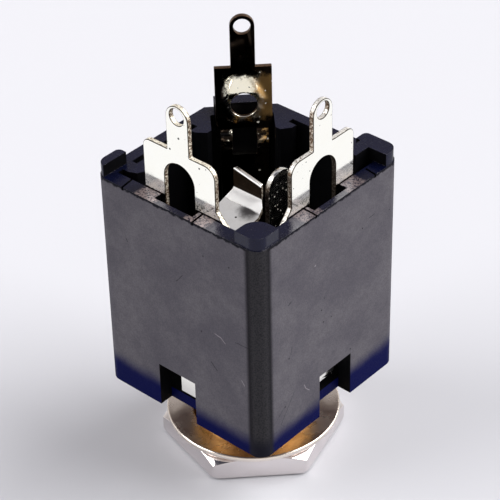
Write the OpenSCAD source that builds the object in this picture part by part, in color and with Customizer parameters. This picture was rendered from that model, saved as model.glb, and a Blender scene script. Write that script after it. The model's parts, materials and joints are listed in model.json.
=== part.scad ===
// Three-pole panel phone jack, standing on its bushing with the solder terminals upwards.
// Millimetres. Z is the jack axis; the tip wall faces -X, the ring wall faces -Y.

/* [Housing] */
// Width of the square housing over its faces
body_w = 15.9; // [15.4:0.1:18]
// Height of the housing from its underside to the rim
body_h = 19; // [17.5:0.1:23]
// Thickness of the side walls
wall = 1.2; // [1.05:0.05:1.4]
// Thickness of the floor that holds the bushing
floor_t = 0.95; // [0.85:0.05:1.4]
// Radius of the upright outside corners
corner_r = 1; // [0.5:0.1:1.4]
// Leg of the cut corner behind the sleeve terminal
rear_cut = 4; // [3.6:0.1:4.3]
// Height of the corner posts above the rim
post_h = 1; // [0.5:0.1:1.6]
// Step between the housing faces and the posts
post_step = 0.08; // [0.04:0.01:0.15]
// Width of the post at the front corner, along both faces
front_post = 2.25; // [1.8:0.05:2.6]
// Radius of the inner edge of the front post
front_post_r = 1.3; // [0.8:0.1:1.6]
// Length of the post at the left corner
left_post_l = 2.5; // [1.8:0.1:2.8]
// Depth of the post at the left corner
left_post_w = 0.85; // [0.7:0.05:1.1]
// Length of the post at the right corner
right_post_l = 3.2; // [2.9:0.05:3.6]
// Depth of the post at the right corner, in front of its rib
right_post_w = 1.57; // [1.4:0.01:1.9]
// Rounding of the free ends of the left and right posts
post_r = 0.4; // [0.2:0.05:0.6]
// Length of the post on the cut corner
rear_post_l = 4.2; // [3.6:0.1:4.6]
// Width of the latch windows and of the channels above them
notch_w = 3.7; // [3.3:0.1:4.2]
// Height of the latch windows from the underside
notch_h = 3.95; // [3.4:0.05:5]
// Wall that is left outside the channels
channel_skin = 0.5; // [0.4:0.05:0.6]
// Distance of the empty switch-blade slots from the inside corners
switch_slot_in = 1.75; // [1.5:0.05:2]
// Recess of the switch slots into the wall
switch_slot_d = 0.25; // [0.15:0.05:0.3]
// Depth of the corner ribs in front of the walls
rib_d = 1.45; // [1.2:0.05:1.6]
// Width of the face of the ribs beside the sleeve plate
rear_rib_w = 0.47; // [0.4:0.01:0.6]
// Overhang of the rear ribs over the switch slots
rear_rib_lip = 0.75; // [0.5:0.05:0.9]
// Bevel of the ribs' inner corners
rib_bevel = 0.55; // [0.3:0.05:0.7]
// Overhang of the left rib over its switch slot
left_rib_lip = 1.2; // [0.9:0.05:1.4]
// Depth of the right corner rib, which rises as high as its post
right_rib_d = 1.85; // [1.7:0.05:2]
// Thickness of the right corner rib
right_rib_w = 1.02; // [0.8:0.01:1.2]

/* [Bushing, nut and washer] */
// Outside diameter of the bushing thread
thread_d = 9.5; // [9.3:0.05:9.6]
// Thread pitch, 32 threads to the inch
thread_pitch = 0.794; // [0.6:0.001:1]
// Length of the bushing outside the housing
thread_len = 6.1; // [5.5:0.1:10]
// Diameter of the plug bore
bore_d = 6.5; // [6.4:0.05:6.6]
// Chamfer at the mouth of the plug bore and at the end of the thread
lead_in = 0.35; // [0.2:0.05:0.5]
// Diameter of the collar sunk in the floor
collar_d = 11; // [10.6:0.1:11.4]
// Thickness of the collar
collar_t = 0.5; // [0.4:0.05:0.6]
// Nut size across flats
nut_af = 12.65; // [12.4:0.05:13]
// Nut thickness
nut_t = 1.95; // [1.7:0.05:2.4]
// Break of the nut's lower corners
nut_break = 0.2; // [0.1:0.05:0.3]
// Slope of the nut chamfer
nut_slope = 30; // [20:1:35]
// Height of the nut above the end of the bushing
nut_z = 0.15; // [0.1:0.05:0.5]
// Turned rest position of the nut
nut_turn = 45.5; // [0:0.1:60]
// Washer outside diameter
washer_d = 13.85; // [13.4:0.05:14.4]
// Washer thickness
washer_t = 0.45; // [0.35:0.05:0.6]
// Rounding of the washer rim
washer_round = 0.1; // [0.05:0.01:0.15]

/* [Tip and ring terminals] */
// Thickness of the sheet
sheet = 0.4; // [0.3:0.02:0.45]
// Offset of the blades along their walls
blade_c = 0.55; // [0.3:0.05:0.8]
// Width of the blades above the rim
blade_w = 6.9; // [6.4:0.1:7.2]
// Height of the shoulders above the rim
shoulder_h = 4.2; // [3.8:0.1:5]
// Radius of the round shoulder
shoulder_r = 0.95; // [0.6:0.05:1.2]
// Radius of the squarer shoulder
shoulder_r2 = 0.6; // [0.4:0.05:0.8]
// Width of the solder tabs
tab_w = 2.1; // [2:0.05:2.6]
// Height of the solder tabs above the rim
tab_h = 8.05; // [7.5:0.05:10]
// Diameter of the solder eyelets
eyelet_d = 1.35; // [1:0.05:1.5]
// Height of the eyelets above the middle of the tabs' round ends
eyelet_up = 0.2; // [0:0.05:0.3]
// Width of the arch in the blades
arch_w = 2.9; // [2.6:0.1:3.2]
// Height of the arch top above the rim
arch_h = 3.25; // [2.8:0.05:3.4]
// Depth of the arch below the rim
arch_drop = 3; // [2:0.5:4]
// Front wing of the blade, below the rim
wing_front = 1.4; // [1.1:0.1:1.6]
// Rear wing of the blade, held behind the corner rib
wing_rear = 1.45; // [1.3:0.05:1.6]
// Height above the rim at which the front wing starts
wing_h = 0.65; // [0.4:0.05:0.8]
// Depth of the blade below the rim
blade_drop = 6.1; // [5:0.1:8]
// Width of the latch strip of the tip contact
latch_w = 1.85; // [1.6:0.05:2.2]
// Offset of the latch strip along its wall
latch_c = 0.1; // [-0.1:0.05:0.3]
// Kick of the latch strip into its window
latch_kick = 0.35; // [0.2:0.05:0.5]
// Height of the kicked end of the latch strip
latch_h = 1.4; // [1:0.1:1.8]
// Height of the latch strip above the floor
latch_lift = 0.55; // [0.3:0.05:0.7]
// Angle of the kick in the latch strip
latch_turn = 40; // [30:1:45]
// Bend radius of the kick in the latch strip
latch_bend = 0.3; // [0.25:0.01:0.35]

/* [Springs] */
// Width of the ring spring
ring_w = 2.8; // [2.4:0.1:3]
// Offset of the ring spring along its wall
ring_c = 0.5; // [0.3:0.05:0.7]
// Bend radius at the bottom of the ring spring
ring_bend = 0.8; // [0.6:0.05:0.9]
// Gap between the ring spring's lower bend and the floor
ring_lift = 0.12; // [0.08:0.02:0.3]
// Slope of the ring spring
ring_slope = 13; // [11:0.5:16]
// Distance of the ring spring from the axis
ring_reach = 2.6; // [2.4:0.05:2.9]
// Height of the ring spring above the rim
ring_top = 0.5; // [0:0.1:1]
// Bend radius between the slope and the tongue
ring_knee = 1.5; // [1:0.1:2]
// Bend radius at the bottom of the tip spring
tip_hem = 0.34; // [0.3:0.01:0.45]
// Depth of the tip spring below the rim
tip_drop = 13; // [10:0.5:14]
// Rise of the jog at the top of the tip spring
tip_slope = 10; // [6:1:14]
// Distance of the tip lip from the axis
tip_reach = 2.05; // [1.9:0.05:2.3]
// Height of the tip lip above the rim
tip_top = 1.2; // [1:0.05:1.6]
// Height of the tip jog below the rim
tip_jog = 0.75; // [0.6:0.05:1]
// Bend radius at both ends of the tip jog
tip_bend = 0.45; // [0.35:0.05:0.6]
// Place of the rear edge of the tip spring
tip_from = -0.6; // [-0.8:0.05:-0.4]
// Place of the front edge of the tip spring
tip_to = -4.25; // [-4.4:0.05:-4]
// Width of the tip lip
tip_lip_w = 2.5; // [2.2:0.1:2.8]
// Slope of the lip's top edge
tip_lip_slope = 12; // [6:1:16]

/* [Sleeve terminal] */
// Width of the sleeve plate
sleeve_w = 4.35; // [4:0.05:4.45]
// Sideways offset of the sleeve terminal
sleeve_c = 0.15; // [0:0.01:0.2]
// Height of the sleeve plate above the rim
sleeve_h = 4.35; // [4:0.05:5]
// Width of the sleeve solder tab
sleeve_tab_w = 1.86; // [1.7:0.02:2.2]
// Height of the sleeve solder tab above the rim
sleeve_tab_h = 8.75; // [8:0.05:10]
// Diameter of the sleeve solder eyelet
sleeve_eyelet_d = 1.3; // [1:0.05:1.4]
// Diameter of the hole in the sleeve plate
sleeve_hole_d = 2.05; // [1.8:0.05:2.2]
// Diameter of the pressed dish around the hole
sleeve_dish_d = 3.3; // [2.9:0.05:3.5]
// Depth of the pressed dish
sleeve_dish = 0.3; // [0.2:0.05:0.4]
// Height of the hole above the rim
sleeve_hole_z = 0.8; // [0.4:0.05:1.2]
// Depth below the rim at which the sleeve plate ends
sleeve_drop = 1; // [0.8:0.1:1.4]
// Width of the sleeve strap
strap_w = 3.7; // [3.4:0.05:4]
// Width of the window between the two bowed legs
strap_window = 1.9; // [1.6:0.05:2.2]
// Radius of the bowed legs
bow_r = 0.55; // [0.5:0.05:0.7]
// Bend radius of the foot on the bushing collar
foot_bend = 0.5; // [0.4:0.05:0.7]
// Reach of the foot towards the axis
foot_reach = 4.1; // [3.9:0.05:4.4]

/* [Clearances] */
// Gap between the contacts and the walls that hold them
slot_gap = 0.05; // [0.03:0.01:0.1]
// Gap between the blades and the corner ribs
rib_gap = 0.1; // [0.05:0.01:0.15]
// Radial gap between the bushing and the floor
floor_gap = 0.04; // [0.02:0.01:0.08]
// Radial gap between the nut and the thread
nut_gap = 0.05; // [0.02:0.01:0.1]
// Radial gap between the washer and the thread
washer_gap = 0.15; // [0.1:0.01:0.25]
// Gap between the nut and the washer
stack_gap = 0.02; // [0.01:0.01:0.05]

/* [Hidden] */
$fn = 64;
eps = 0.01;
// Largest angle between two flats of a bend
bend_step = 7.5;
h = body_w / 2;
in = h - wall;
base_z = thread_len;
rim_z = base_z + body_h;
floor_z = base_z + floor_t;
notch_top = base_z + notch_h;
collar_z = floor_z - collar_t;
// Distance of the cut corner's faces from the axis
cut_out = (2 * h - rear_cut) / sqrt(2);
cut_in = cut_out - wall;
// Sides of the recess for the sleeve plate, and ends of the switch slots
sleeve_side = (sleeve_w / 2 + sleeve_c + rib_gap) * sqrt(2);
slot_from = -in + switch_slot_in;
slot_to = in - rib_d - sleeve_side - rear_rib_w + rear_rib_lip - rib_bevel;
// Blade of the tip and ring contacts, distances from the axis
blade_out = in - slot_gap;
blade_in = blade_out - sheet;
blade_mid = blade_out - sheet / 2;
blade_z = rim_z - blade_drop;
blade_l = blade_c - blade_w / 2;
blade_r = blade_c + blade_w / 2;
// Sleeve plate, distances along the diagonal
plate_out = cut_in - slot_gap;
plate_in = plate_out - sheet;
plate_mid = plate_out - sheet / 2;
plate_z = rim_z - sleeve_drop;
washer_z = nut_z + nut_t + stack_gap;
nut_corner = nut_af / 2 / cos(30);

// Housing outline, drawn in by a step
module outline(step) {
    w = h - step;
    r = corner_r - step;
    difference() {
        square(2 * w, center = true);
        for (c = [[-1, -1], [-1, 1], [1, -1]])
            translate([c.x * (w - r), c.y * (w - r)])
                difference() {
                    translate([c.x * r, c.y * r]) square(2 * r, center = true);
                    circle(r);
                }
        rotate(45) translate([cut_out - step, -h]) square([h, 2 * h]);
    }
}

// Inside of the housing, with the ribs that guide the blades
module inside() {
    difference() {
        union() {
            square(2 * in, center = true);
            for (m = [0, 1])
                mirror([m, -m, 0])
                    translate([in - eps, slot_from]) square([switch_slot_d + eps, slot_to - slot_from]);
        }
        rotate(45) translate([cut_in, -h]) square([h, 2 * h]);
        for (m = [0, 1])
            mirror([m, -m, 0]) rear_rib();
        left_rib();
        translate([-in - eps, -in - eps]) square(front_post - wall);
    }
}

// Rib beside the sleeve plate; its outer side leaves the switch slot open
module rear_rib() {
    edge = in - switch_slot_d;
    face = in - rib_d;
    polygon([
        [edge, slot_to - rear_rib_lip], [face + rear_rib_lip, slot_to - rear_rib_lip],
        [face, slot_to - rear_rib_lip + rib_bevel], [face, face - sleeve_side],
        [h, h - sleeve_side], [h, slot_to], [edge, slot_to]
    ]);
}

// Rib at the left corner, which holds the rear wing of the tip blade
module left_rib() {
    edge = -blade_in + rib_gap;
    face = in - rib_d;
    polygon([
        [edge, in + eps], [edge, face + rib_d - rib_bevel], [edge + rib_bevel / 2, face + rib_bevel / 2],
        [edge + 1.5 * rib_bevel, face], [slot_from + left_rib_lip, face],
        [slot_from + left_rib_lip, in - switch_slot_d], [slot_from, in - switch_slot_d], [slot_from, in + eps]
    ]);
}

// Rib behind the rear wing of the ring blade, as high as the post that it joins
module right_rib() {
    translate([in - right_rib_d, -blade_in + rib_gap, floor_z - eps])
        cube([right_rib_d + eps, right_rib_w, rim_z + post_h - floor_z + eps]);
}

// Free end of a post, drawn along X with its outer face up to the housing face
module post_end(from, to, depth) {
    r = post_r;
    top = h - post_step;
    difference() {
        translate([from, h - depth]) square([to - from, depth]);
        translate([to - r, top - r])
            difference() {
                square(2 * r);
                circle(r);
            }
    }
}

module posts() {
    intersection() {
        translate([0, 0, rim_z - eps]) linear_extrude(post_h + eps) outline(post_step);
        union() {
            translate([-h, -h, 0]) front_column();
            translate([0, 0, rim_z - eps])
                linear_extrude(2 * post_h) {
                    post_end(-h, left_post_l - h, left_post_w);
                    mirror([1, -1, 0]) post_end(-h, right_post_l - h, wall);
                    translate([h - right_post_w, -h]) square([right_post_w, h - blade_in + rib_gap + eps]);
                }
            rotate(45)
                translate([cut_in, -rear_post_l / 2, rim_z - eps]) cube([h, rear_post_l, 2 * post_h]);
        }
    }
}

// Front post with its rounded inner edge
module front_column() {
    translate([0, 0, rim_z - eps])
        linear_extrude(2 * post_h)
            difference() {
                square(front_post);
                translate([front_post - front_post_r, front_post - front_post_r])
                    difference() {
                        square(front_post);
                        circle(front_post_r);
                    }
            }
}

// Opening at the foot of the -Y wall
module foot_window() {
    translate([blade_c - notch_w / 2, -h - 1, base_z - 1]) cube([notch_w, wall + 1, notch_h + 1]);
}

// Latch window with the channel above it, in the -Y wall
module window() {
    foot_window();
    translate([blade_c - notch_w / 2, -h + channel_skin, floor_z])
        cube([notch_w, wall - channel_skin + eps, body_h]);
}

module housing() {
    color([0.05, 0.05, 0.06]) {
        difference() {
            translate([0, 0, base_z]) linear_extrude(body_h) outline(0);
            translate([0, 0, floor_z]) linear_extrude(body_h) inside();
            translate([0, 0, base_z - 1]) cylinder(d = thread_d + 2 * floor_gap, h = floor_t + 2);
            translate([0, 0, collar_z]) cylinder(d = collar_d + 2 * floor_gap, h = floor_t);
            for (m = [0, 1])
                mirror([m, -m, 0]) {
                    window();
                    rotate(180) foot_window();
                }
        }
        right_rib();
        posts();
    }
}

module bushing() {
    color([0.78, 0.6, 0.3])
        rotate_extrude()
            polygon([
                [bore_d / 2 + lead_in, 0], [thread_d / 2 - lead_in, 0], [thread_d / 2, lead_in],
                [thread_d / 2, collar_z], [collar_d / 2, collar_z], [collar_d / 2, floor_z],
                [bore_d / 2, floor_z], [bore_d / 2, lead_in]
            ]);
}

module washer() {
    hole_r = thread_d / 2 + washer_gap;
    rim_r = washer_d / 2;
    color([0.8, 0.78, 0.74])
        translate([0, 0, washer_z])
            rotate_extrude()
                polygon([
                    [hole_r, 0], [rim_r - washer_round, 0], [rim_r, washer_round],
                    [rim_r, washer_t - washer_round], [rim_r - washer_round, washer_t], [hole_r, washer_t]
                ]);
}

module nut() {
    hole_r = thread_d / 2 + nut_gap;
    face_r = nut_af / 2 - 0.15;
    wide_r = nut_corner + 0.5;
    fall = (wide_r - face_r) * tan(nut_slope);
    color([0.82, 0.81, 0.78])
        translate([0, 0, nut_z])
            difference() {
                intersection() {
                    rotate(nut_turn + 30) cylinder(r = nut_corner, h = nut_t, $fn = 6);
                    rotate_extrude()
                        polygon([
                            [0, 0], [nut_corner - nut_break, 0], [wide_r, nut_break + 0.5],
                            [wide_r, nut_t - fall], [face_r, nut_t], [0, nut_t]
                        ]);
                }
                translate([0, 0, -1]) cylinder(r = hole_r, h = nut_t + 2);
            }
}

// One side of a bent sheet. A step is [length], or [radius, angle] with left turns positive.
function side(steps, off, at = [0, 0], head = 90, i = 0) =
    i == len(steps) ? [] :
    let (s = steps[i])
    len(s) == 1
        ? let (to = at + s[0] * [cos(head), sin(head)], out = off * [-sin(head), cos(head)])
            concat(i == 0 ? [at + out] : [], [to + out], side(steps, off, to, head, i + 1))
        : let (r = sign(s[1]) * s[0], c = at + r * [-sin(head), cos(head)], n = ceil(abs(s[1]) / bend_step))
            concat(
                [for (k = [1 : n]) let (t = head + s[1] * k / n) c + (off - r) * [-sin(t), cos(t)]],
                side(steps, off, c - r * [-sin(head + s[1]), cos(head + s[1])], head + s[1], i + 1)
            );

// Bent sheet seen from its edge, as one closed profile
module bent(steps) {
    back = side(steps, -sheet / 2);
    polygon(concat(side(steps, sheet / 2), [for (k = [len(back) - 1 : -1 : 0]) back[k]]));
}

// Places a sheet profile, drawn as [distance from the wall, height], across the -Y wall
module across(from, width) {
    translate([from, 0, 0]) rotate([90, 0, 90]) linear_extrude(width) children();
}

// Face of the tip and ring blades, seen from outside: tab, shoulders, arch and wings
module blade_face() {
    tab_r = tab_w / 2;
    arch_r = arch_w / 2;
    top = rim_z + shoulder_h;
    difference() {
        union() {
            translate([blade_l, blade_z]) square([blade_w, top - blade_z]);
            translate([blade_c - tab_r, top - 1]) square([tab_w, tab_h - shoulder_h + 1 - tab_r]);
            translate([blade_c, rim_z + tab_h - tab_r]) circle(tab_r);
            polygon([
                [blade_l + eps, rim_z + wing_h], [blade_l - wing_front / 2, rim_z + wing_h - 0.85],
                [blade_l - wing_front, rim_z + wing_h - 1.5], [blade_l - wing_front, blade_z],
                [blade_l + eps, blade_z]
            ]);
            translate([blade_r - eps, blade_z]) square([wing_rear + eps, blade_drop - 0.5]);
        }
        translate([blade_c, rim_z + tab_h - tab_r + eyelet_up]) circle(d = eyelet_d);
        translate([blade_c, rim_z + arch_h - arch_r]) circle(arch_r);
        translate([blade_c - arch_r, rim_z - arch_drop]) square([arch_w, arch_drop + arch_h - arch_r]);
        translate([blade_l + shoulder_r, top - shoulder_r])
            difference() {
                translate([-2 * shoulder_r, 0]) square(2 * shoulder_r);
                circle(shoulder_r);
            }
        translate([blade_r - shoulder_r2, top - shoulder_r2])
            difference() {
                square(2 * shoulder_r2);
                circle(shoulder_r2);
            }
    }
}

module blade() {
    translate([0, -blade_in, 0]) rotate([90, 0, 0]) linear_extrude(sheet) blade_face();
}

module ring_contact() {
    start_z = floor_z + ring_lift + sheet / 2 + ring_bend;
    leaf = blade_mid - 2 * ring_bend;
    bend_side = ring_knee * (1 - cos(ring_slope));
    run = (leaf - ring_reach - 2 * bend_side) / sin(ring_slope);
    rise = 2 * ring_knee * sin(ring_slope) + run * cos(ring_slope);
    color([0.86, 0.84, 0.8]) {
        blade();
        intersection() {
            across(ring_c - ring_w / 2, ring_w)
                translate([-blade_mid, blade_z + 1])
                    rotate(180)
                        bent([
                            [blade_z + 1 - start_z], [ring_bend, 180], [1.5], [ring_knee, -ring_slope], [run],
                            [ring_knee, ring_slope], [rim_z + ring_top - start_z - 1.5 - rise]
                        ]);
            union() {
                translate([ring_c - ring_w, -h, 0])
                    cube([2 * ring_w, 2 * h, rim_z + ring_top - ring_w / 2]);
                translate([ring_c, h, rim_z + ring_top - ring_w / 2])
                    rotate([90, 0, 0]) cylinder(d = ring_w, h = 2 * h);
            }
        }
    }
}

// Modelled on the -Y wall and mirrored to the -X wall
module tip_stamping() {
    start_z = rim_z - tip_drop;
    leaf = blade_mid - 2 * tip_hem;
    turn = 90 - tip_slope;
    bend = tip_bend * (1 - cos(turn));
    jog = (leaf - tip_reach - 2 * bend) / sin(turn);
    jog_z = rim_z - tip_jog - tip_bend * sin(turn) - jog * cos(turn);
    lip_z = rim_z - tip_jog + tip_bend * sin(turn);
    latch_end = floor_z + latch_lift;
    kick = (latch_kick - 2 * latch_bend * (1 - cos(latch_turn))) / sin(latch_turn);
    kick_h = 2 * latch_bend * sin(latch_turn) + kick * cos(latch_turn);
    blade();
    intersection() {
        across(tip_to, tip_from - tip_to)
            translate([-blade_mid, blade_z + 1])
                rotate(180)
                    bent([
                        [blade_z + 1 - start_z], [tip_hem, 180], [jog_z - start_z], [tip_bend, -turn], [jog],
                        [tip_bend, turn], [rim_z + tip_top + 0.5 - lip_z]
                    ]);
        union() {
            translate([tip_to, -h, 0]) cube([-1 - tip_to, h, rim_z - 2]);
            translate([0, 0, rim_z - 2 - eps])
                linear_extrude(4)
                    polygon([
                        [tip_from, 0], [tip_from, -tip_reach - 0.4], [-1, -blade_in], [tip_to, -blade_in],
                        [tip_to, -tip_reach - 1.7], [tip_from - tip_lip_w - 0.7, -tip_reach - 0.7],
                        [tip_from - tip_lip_w, -tip_reach], [tip_from - tip_lip_w, 0]
                    ]);
        }
        translate([tip_from, -h, rim_z + tip_top])
            rotate([0, -tip_lip_slope, 0]) translate([-body_h, 0, -2 * body_h]) cube([2 * body_h, 2 * h, 2 * body_h]);
    }
    across(latch_c - latch_w / 2, latch_w)
        translate([-blade_mid, blade_z + 1])
            rotate(180)
                bent([
                    [blade_z + 1 - latch_end - latch_h - kick_h], [latch_bend, -latch_turn], [kick],
                    [latch_bend, latch_turn], [latch_h]
                ]);
}

module tip_contact() {
    color([0.86, 0.84, 0.8]) mirror([1, -1, 0]) tip_stamping();
}

// Face of the sleeve plate, drawn as [sideways, height]
module sleeve_face() {
    tab_r = sleeve_tab_w / 2;
    top = rim_z + sleeve_h;
    difference() {
        union() {
            translate([-sleeve_w / 2, plate_z]) square([sleeve_w, top - plate_z]);
            translate([-tab_r, top - 1]) square([sleeve_tab_w, sleeve_tab_h - sleeve_h + 1 - tab_r]);
            translate([0, rim_z + sleeve_tab_h - tab_r]) circle(tab_r);
        }
        translate([0, rim_z + sleeve_tab_h - tab_r]) circle(d = sleeve_eyelet_d);
        translate([0, rim_z + sleeve_hole_z]) circle(d = sleeve_dish_d - 0.2);
    }
}

// Dish pressed into the sleeve plate around its hole
module sleeve_dish_ring() {
    r0 = sleeve_hole_d / 2;
    r1 = sleeve_dish_d / 2;
    rotate_extrude()
        polygon([
            [r1, 0], [r0, -sleeve_dish], [r0, sheet * 0.8 - sleeve_dish], [r1 - 0.3, sheet], [r1, sheet]
        ]);
}

module sleeve_contact() {
    leg = (strap_w - strap_window) / 2;
    bow_turn = 60;
    bow_run = 0.1;
    strap_top = plate_z - 4 * bow_r * sin(bow_turn) - 2 * bow_run * cos(bow_turn) - 0.4;
    color([0.86, 0.84, 0.8])
        rotate(-45)
            translate([sleeve_c, 0, 0]) {
                translate([0, plate_out, 0]) rotate([90, 0, 0]) linear_extrude(sheet) sleeve_face();
                translate([0, plate_in, rim_z + sleeve_hole_z]) rotate([-90, 0, 0]) sleeve_dish_ring();
                for (x = [-strap_w / 2, strap_window / 2])
                    across(x, leg)
                        translate([plate_mid, plate_z + 0.2])
                            rotate(180)
                                bent([
                                    [0.2], [bow_r, -bow_turn], [bow_run], [bow_r, 2 * bow_turn], [bow_run],
                                    [bow_r, -bow_turn], [1]
                                ]);
                across(-strap_w / 2, strap_w)
                    translate([plate_mid, strap_top])
                        rotate(180)
                            bent([
                                [strap_top - floor_z - sheet / 2 - foot_bend], [foot_bend, -90],
                                [plate_mid - foot_bend - foot_reach]
                            ]);
            }
}

housing();
bushing();
washer();
nut();
tip_contact();
ring_contact();
sleeve_contact();
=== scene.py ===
# %% [markdown]
# # A panel phone jack, dressed for a portrait
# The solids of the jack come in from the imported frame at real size, in metres. Each one is right in
# shape but has knife-sharp edges and one flat colour. This lesson eases the edges, cuts the thread
# that the solids leave plain, and gives every piece the finish that its metal or moulding has.

# %% Load the frame
import json
from math import atan2, cos, radians, sin

import bpy
from mathutils import Matrix, Vector

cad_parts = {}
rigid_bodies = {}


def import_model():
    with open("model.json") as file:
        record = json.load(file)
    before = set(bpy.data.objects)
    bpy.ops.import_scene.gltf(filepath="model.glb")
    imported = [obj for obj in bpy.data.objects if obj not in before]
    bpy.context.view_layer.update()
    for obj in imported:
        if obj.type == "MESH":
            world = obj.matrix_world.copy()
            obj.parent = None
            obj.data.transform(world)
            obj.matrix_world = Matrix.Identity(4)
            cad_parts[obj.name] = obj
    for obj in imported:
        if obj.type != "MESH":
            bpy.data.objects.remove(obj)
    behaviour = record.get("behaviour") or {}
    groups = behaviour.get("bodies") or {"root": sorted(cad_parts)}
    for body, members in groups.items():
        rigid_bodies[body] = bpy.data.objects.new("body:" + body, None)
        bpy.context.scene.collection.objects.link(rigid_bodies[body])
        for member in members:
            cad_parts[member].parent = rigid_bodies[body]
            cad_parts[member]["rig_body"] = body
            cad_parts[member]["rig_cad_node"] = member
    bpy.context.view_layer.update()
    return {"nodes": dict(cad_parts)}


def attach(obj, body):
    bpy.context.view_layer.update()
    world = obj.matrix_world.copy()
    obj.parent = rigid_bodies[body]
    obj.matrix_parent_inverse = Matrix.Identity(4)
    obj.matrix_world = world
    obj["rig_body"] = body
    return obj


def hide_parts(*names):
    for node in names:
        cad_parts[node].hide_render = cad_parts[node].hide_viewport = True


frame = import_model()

MM = 0.001
print("solids:", sorted(frame["nodes"]))

# %% [markdown]
# ## The camera
# The camera stands where the photograph's stood, which was solved from known lengths in the picture. A
# long lens 163 mm away looks down at 36 degrees on the front corner, with a slight roll. The values
# below are its place and its own axes, and a matrix made of them needs no aiming.

# %% Camera
EYE = Vector((-91.4907, -82.6006, 106.7980)) * MM
LOOK = Vector((0.601126, 0.542419, -0.586881))
RIGHT = Vector((0.659481, -0.751469, -0.019473))
UP = RIGHT.cross(LOOK)

camera_data = bpy.data.cameras.new("portrait_lens")
camera_data.lens = 144.80
camera_data.sensor_width = 36
camera_data.clip_start = 0.005
camera = bpy.data.objects.new("portrait_camera", camera_data)
bpy.context.scene.collection.objects.link(camera)
camera.matrix_world = Matrix.Translation(EYE) @ Matrix((RIGHT, UP, -LOOK)).transposed().to_4x4()
bpy.context.scene.camera = camera
bpy.context.scene.view_settings.view_transform = "Standard"
print("camera", [round(c / MM, 1) for c in camera.location], "mm")

# %% [markdown]
# ## A few hand tools
# Operators act on whatever is selected, and the loader leaves the solids selected, so every step
# starts by picking exactly one piece, and often only some of its faces or edges.

# %% Hand tools
def pick(piece):
    """Selects one piece alone and makes it active."""
    if bpy.context.object and bpy.context.object.mode != "OBJECT":
        bpy.ops.object.mode_set(mode="OBJECT")
    bpy.ops.object.select_all(action="DESELECT")
    piece.select_set(True)
    bpy.context.view_layer.objects.active = piece


def edit(piece, kind):
    """Goes into edit mode on one piece, with every VERT, EDGE or FACE selected."""
    pick(piece)
    bpy.ops.object.mode_set(mode="EDIT")
    bpy.ops.mesh.select_mode(type=kind)
    bpy.ops.mesh.select_all(action="SELECT")


def done():
    """Leaves edit mode."""
    bpy.ops.object.mode_set(mode="OBJECT")


def choose(piece, kind, chosen):
    """Goes into edit mode with only those edges or faces selected that chosen says yes to."""
    edit(piece, kind)
    bpy.ops.mesh.select_all(action="DESELECT")
    done()
    for element in piece.data.edges if kind == "EDGE" else piece.data.polygons:
        element.select = bool(chosen(element))
    bpy.ops.object.mode_set(mode="EDIT")


def apply_all(piece):
    """Applies a piece's modifiers in their order."""
    pick(piece)
    for name in [m.name for m in piece.modifiers]:
        bpy.ops.object.modifier_apply(modifier=name)


def new_piece(name):
    """Names the primitive that was just added, and puts its place into its mesh."""
    piece = bpy.context.object
    piece.name = piece.data.name = name
    bpy.ops.object.transform_apply(location=True, rotation=True, scale=True)
    return piece


def cut_with(piece, cutter, operation):
    """Joins a piece with a cutter by an exact boolean, and throws the cutter away."""
    boolean = piece.modifiers.new(cutter.name, "BOOLEAN")
    boolean.operation = operation
    boolean.solver = "EXACT"
    boolean.object = cutter
    apply_all(piece)
    bpy.data.objects.remove(cutter)


print("hand tools ready")

# %% [markdown]
# ## Writing finishes
# A finish is a chain of nodes. Every pattern reads Object coordinates, in metres on the piece itself,
# so it stays put from any side. The helpers below each add one step and hand back its socket.

# %% Nodes
def new_finish(name, **uniform):
    """A material, its nodes and its shader, with the values that are the same all over it."""
    finish = bpy.data.materials.new(name)
    finish.use_nodes = True
    shader = finish.node_tree.nodes["Principled BSDF"]
    for key, value in uniform.items():
        shader.inputs[key.replace("_", " ")].default_value = value
    return finish, finish.node_tree, shader


def add(tree, kind, links=(), **settings):
    """Adds a node, sets it, and links (socket or value, input) pairs into it."""
    made = tree.nodes.new(kind)
    for key, value in settings.items():
        setattr(made, key, value)
    for value, into in links:
        if isinstance(value, bpy.types.NodeSocket):
            tree.links.new(value, made.inputs[into])
        else:
            made.inputs[into].default_value = value
    return made


def wire(tree, shader, **sockets):
    """Links sockets into the shader's inputs."""
    for key, socket in sockets.items():
        tree.links.new(socket, shader.inputs[key.replace("_", " ")])


def place(tree):
    """The place on the piece, in metres."""
    return add(tree, "ShaderNodeTexCoord").outputs["Object"]


def facing(tree):
    """The way that the surface faces."""
    return add(tree, "ShaderNodeNewGeometry").outputs["Normal"]


def axes(tree, vector):
    """A vector's X, Y and Z."""
    return add(tree, "ShaderNodeSeparateXYZ", [(vector, 0)]).outputs


def vector_math(tree, operation, a, b=(0, 0, 0)):
    """A step with two vectors: a measure such as DISTANCE gives a number, the rest give a vector."""
    second = "Scale" if operation == "SCALE" else 1
    made = add(tree, "ShaderNodeVectorMath", [(a, 0), (b, second)], operation=operation)
    return made.outputs["Value" if operation in ("DISTANCE", "DOT_PRODUCT", "LENGTH") else "Vector"]

# %% [markdown]
# Masks are numbers from 0 to 1. They come from ramps along a coordinate, clouds and specks, and are
# multiplied where both must hold, or compared where either is enough. Colours then lie over each other
# in coats, each through its own mask.

# %% Masks and coats
def calc(tree, operation, a, b=0.0):
    """A step with two numbers."""
    return add(tree, "ShaderNodeMath", [(a, 0), (b, 1)], operation=operation).outputs[0]


def times(tree, first, *others):
    """The product of masks: 1 only where all of them are."""
    for other in others:
        first = calc(tree, "MULTIPLY", first, other)
    return first


def either(tree, first, *others):
    """The greatest of several values: 1 where any mask is."""
    for other in others:
        first = calc(tree, "MAXIMUM", first, other)
    return first


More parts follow.
